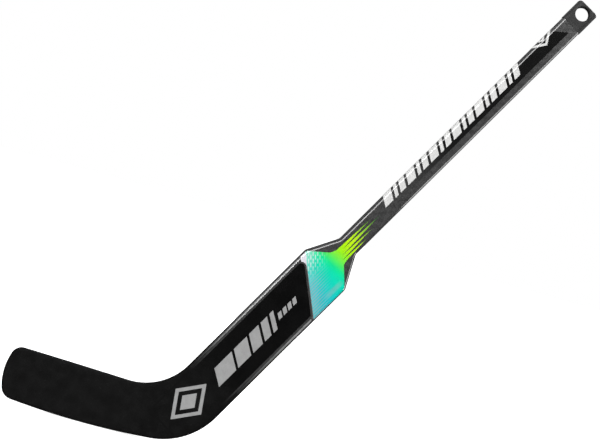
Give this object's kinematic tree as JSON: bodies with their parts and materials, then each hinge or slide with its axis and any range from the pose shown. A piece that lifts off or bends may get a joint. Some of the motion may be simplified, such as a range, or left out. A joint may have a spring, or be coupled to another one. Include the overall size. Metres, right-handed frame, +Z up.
{
  "type": "ice hockey goalkeeper stick",
  "caption": "Small goalkeeper's ice hockey stick with a rounded rectangular shaft, a holed butt cap, a wide flat paddle with a slanted panel and a short curved blade.",
  "frame": {"origin": "on the shaft's centre line, in the middle of the hand's grip just above the paddle", "axes": "+X from the toe towards the heel and the butt end, +Y from the front face to the back, +Z up; the shaft leans 60 degrees above the floor"},
  "size_m": [0.3971, 0.0181, 0.4477],
  "materials": {
    "shaft_carbon": "carbon weave under satin lacquer",
    "cap_plastic": "moulded, fine satin texture",
    "tenon_plastic": "moulded",
    "paddle_laminate": "carbon laminate under satin lacquer",
    "blade_laminate": "gritty matte black coat",
    "foam": "rigid foam",
    "film_black": "gloss black print",
    "film_shaft_black": "satin black print",
    "film_dark_grey": "satin dark grey print",
    "film_white": "satin white print",
    "film_silver": "silver print",
    "film_grey": "grey print",
    "film_throat": "print that runs from aqua through green to lime"
  },
  "bodies": {
    "root": {"shaft_tube": "shaft_carbon", "butt_cap": "cap_plastic", "throat_tenon": "tenon_plastic", "paddle_front_skin": "paddle_laminate", "paddle_back_skin": "paddle_laminate", "paddle_core": "foam", "paddle_upper_rail": "paddle_laminate", "paddle_lower_rail": "paddle_laminate", "blade_front_skin": "blade_laminate", "blade_back_skin": "blade_laminate", "blade_core": "foam", "blade_toe_rail": "blade_laminate", "blade_top_rail": "blade_laminate", "blade_sole_rail": "blade_laminate", "paddle_panel": "film_black", "panel_border": "film_dark_grey", "throat_flash": "film_white", "throat_decal": "film_throat", "upper_pinstripe": "film_silver", "lower_pinstripe": "film_silver", "shaft_panel": "film_shaft_black", "paddle_emblem": "film_grey", "paddle_stripes": "film_grey", "paddle_dashes": "film_grey", "shaft_bars": "film_white", "shaft_end_mark": "film_white", "back_paddle_panel": "film_black", "back_panel_border": "film_dark_grey", "back_paddle_emblem": "film_grey", "back_paddle_stripes": "film_grey", "back_paddle_dashes": "film_grey", "back_upper_pinstripe": "film_silver", "back_lower_pinstripe": "film_silver", "back_throat_flash": "film_white", "back_throat_decal": "film_throat", "back_shaft_panel": "film_shaft_black", "back_shaft_bars": "film_white", "back_shaft_end_mark": "film_white"}
  },
  "joints": []
}
